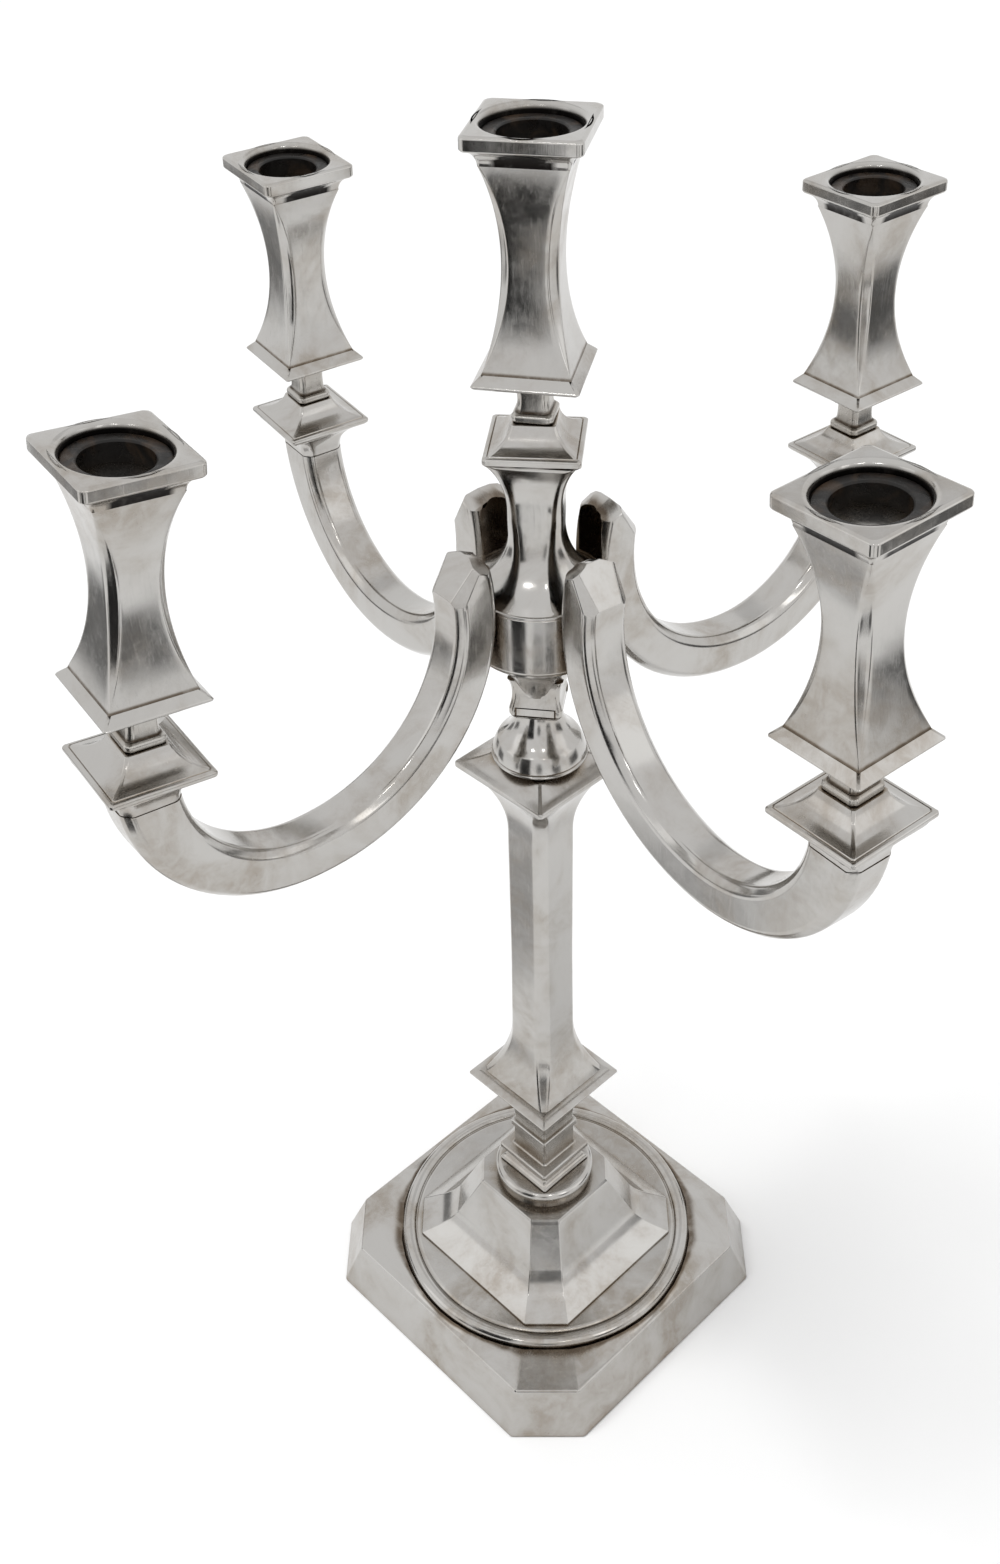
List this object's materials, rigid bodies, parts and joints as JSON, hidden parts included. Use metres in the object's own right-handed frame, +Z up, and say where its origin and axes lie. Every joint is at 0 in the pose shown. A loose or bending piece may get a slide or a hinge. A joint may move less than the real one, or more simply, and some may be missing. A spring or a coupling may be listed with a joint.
{
  "type": "tabletop candelabra",
  "caption": "Tabletop candelabra with a square column on a stepped foot, a lift-off branch unit with curved arms, a raised centre light and flared square candle sockets.",
  "frame": {"origin": "middle of the foot's underside, on the table", "axes": "+Z up along the column; X and Y along the foot's straight sides"},
  "size_m": [0.3184, 0.3184, 0.5112],
  "materials": {
    "silver": "polished silver with fine handling scratches and light warm tarnish",
    "worn_silver": "silver with brown tarnish in the corners",
    "sooted_cup": "matt black candle soot over silver",
    "steel": "plain steel"
  },
  "bodies": {
    "base": {"foot_shell": "silver", "foot_disc": "silver", "foot_pyramid": "silver", "foot_ring": "silver", "foot_skirt": "silver", "neck_slab": "worn_silver", "knop_neck": "worn_silver", "knop_plate": "silver", "stem_column": "silver", "stem_cap": "silver", "stem_cup": "worn_silver", "tie_rod": "steel", "rod_washer": "steel", "rod_nut": "steel"},
    "plug": {"branch_plug": "worn_silver"},
    "branch": {"bell": "silver", "block": "silver", "drum": "silver", "hub_column": "silver", "centre_pan": "silver", "arm_front": "silver", "arm_left": "silver", "arm_right": "silver", "arm_back": "silver", "pan_front": "silver", "pan_left": "silver", "pan_right": "silver", "pan_back": "silver", "arm_screws": "steel"},
    "socket_front": {"body_front": "silver", "lip_front": "silver", "base_front": "silver", "cup_front": "sooted_cup", "neck_front": "worn_silver"},
    "socket_left": {"body_left": "silver", "lip_left": "silver", "base_left": "silver", "cup_left": "sooted_cup", "neck_left": "worn_silver"},
    "socket_right": {"body_right": "silver", "lip_right": "silver", "base_right": "silver", "cup_right": "sooted_cup", "neck_right": "worn_silver"},
    "socket_back": {"body_back": "silver", "lip_back": "silver", "base_back": "silver", "cup_back": "sooted_cup", "neck_back": "worn_silver"},
    "socket_centre": {"body_centre": "silver", "lip_centre": "silver", "base_centre": "silver", "cup_centre": "sooted_cup", "neck_centre": "worn_silver"}
  },
  "joints": [
    {"name": "branch_lift", "type": "slide", "parent": "base", "child": "plug", "axis": [0, 0, 1], "range_m": [0, 0.03]},
    {"name": "branch_turn", "type": "hinge", "parent": "plug", "child": "branch", "pos_m": [0, 0, 0.2975], "axis": [0, 0, 1], "continuous": true},
    {"name": "unscrew_front", "type": "hinge", "parent": "branch", "child": "socket_front", "pos_m": [-0.01443, -0.14197, 0.37649], "axis": [0.047, 0.0948, 0.9944], "continuous": true},
    {"name": "unscrew_left", "type": "hinge", "parent": "branch", "child": "socket_left", "pos_m": [-0.14132, 0.02181, 0.37658], "axis": [0.0391, -0.0096, 0.9992], "continuous": true},
    {"name": "unscrew_right", "type": "hinge", "parent": "branch", "child": "socket_right", "pos_m": [0.13924, -0.02401, 0.37656], "axis": [-0.0524, -0.0391, 0.9979], "continuous": true},
    {"name": "unscrew_back", "type": "hinge", "parent": "branch", "child": "socket_back", "pos_m": [0.02079, 0.13842, 0.37659], "axis": [-0.0237, -0.0281, 0.9993], "continuous": true},
    {"name": "unscrew_centre", "type": "hinge", "parent": "branch", "child": "socket_centre", "pos_m": [0, 0, 0.4236], "axis": [0, 0, 1], "continuous": true}
  ]
}
